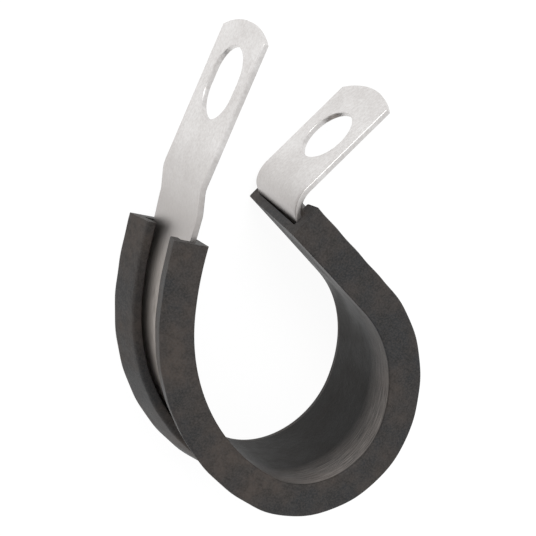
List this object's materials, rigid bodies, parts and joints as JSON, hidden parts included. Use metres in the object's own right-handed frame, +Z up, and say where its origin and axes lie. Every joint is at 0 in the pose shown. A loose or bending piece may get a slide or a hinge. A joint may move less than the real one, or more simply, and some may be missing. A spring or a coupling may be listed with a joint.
{
  "type": "cushioned p clip",
  "caption": "Open cushioned P clip: a bent steel band with a slotted long tab and a drilled short tab, lined by a rubber channel that grips a cable, hose or pipe.",
  "frame": {"origin": "middle of the footprint, on the floor that the clip lies on", "axes": "+Z up along the width of the band and the axis of the loop; +Y along the two tabs, away from the loop; +X from the long tab towards the tight side of the loop"},
  "size_m": [0.0525, 0.0541, 0.016],
  "materials": {
    "steel": "satin",
    "rubber": "matt"
  },
  "bodies": {
    "root": {"band": "steel", "cushion": "rubber"}
  },
  "joints": []
}
